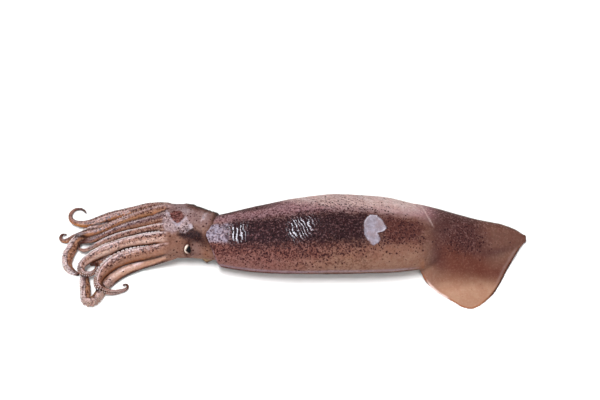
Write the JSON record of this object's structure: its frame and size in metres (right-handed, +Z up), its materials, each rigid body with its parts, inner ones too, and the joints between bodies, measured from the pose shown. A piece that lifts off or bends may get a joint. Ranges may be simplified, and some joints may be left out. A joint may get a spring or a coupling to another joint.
{
  "type": "whole raw squid",
  "caption": "Whole raw squid lying belly down: torpedo-shaped mantle with one fin spread and one folded, head with eyes and a spread of curling arms and two longer tentacles.",
  "frame": {"origin": "on the table under the middle of the whole squid, at the centre of the bounding box's bottom", "axes": "+X from the arms towards the tail, -Y towards the side with the spread fin and the showing eye, +Z up off the table"},
  "size_m": [0.3476, 0.091, 0.042],
  "materials": {
    "mantle_skin": "satin",
    "head_skin": "satin",
    "eye_ball": "gloss"
  },
  "bodies": {
    "root": {"mantle": "mantle_skin", "head_and_arms": "head_skin", "near_eye": "eye_ball", "far_eye": "eye_ball"}
  },
  "joints": []
}
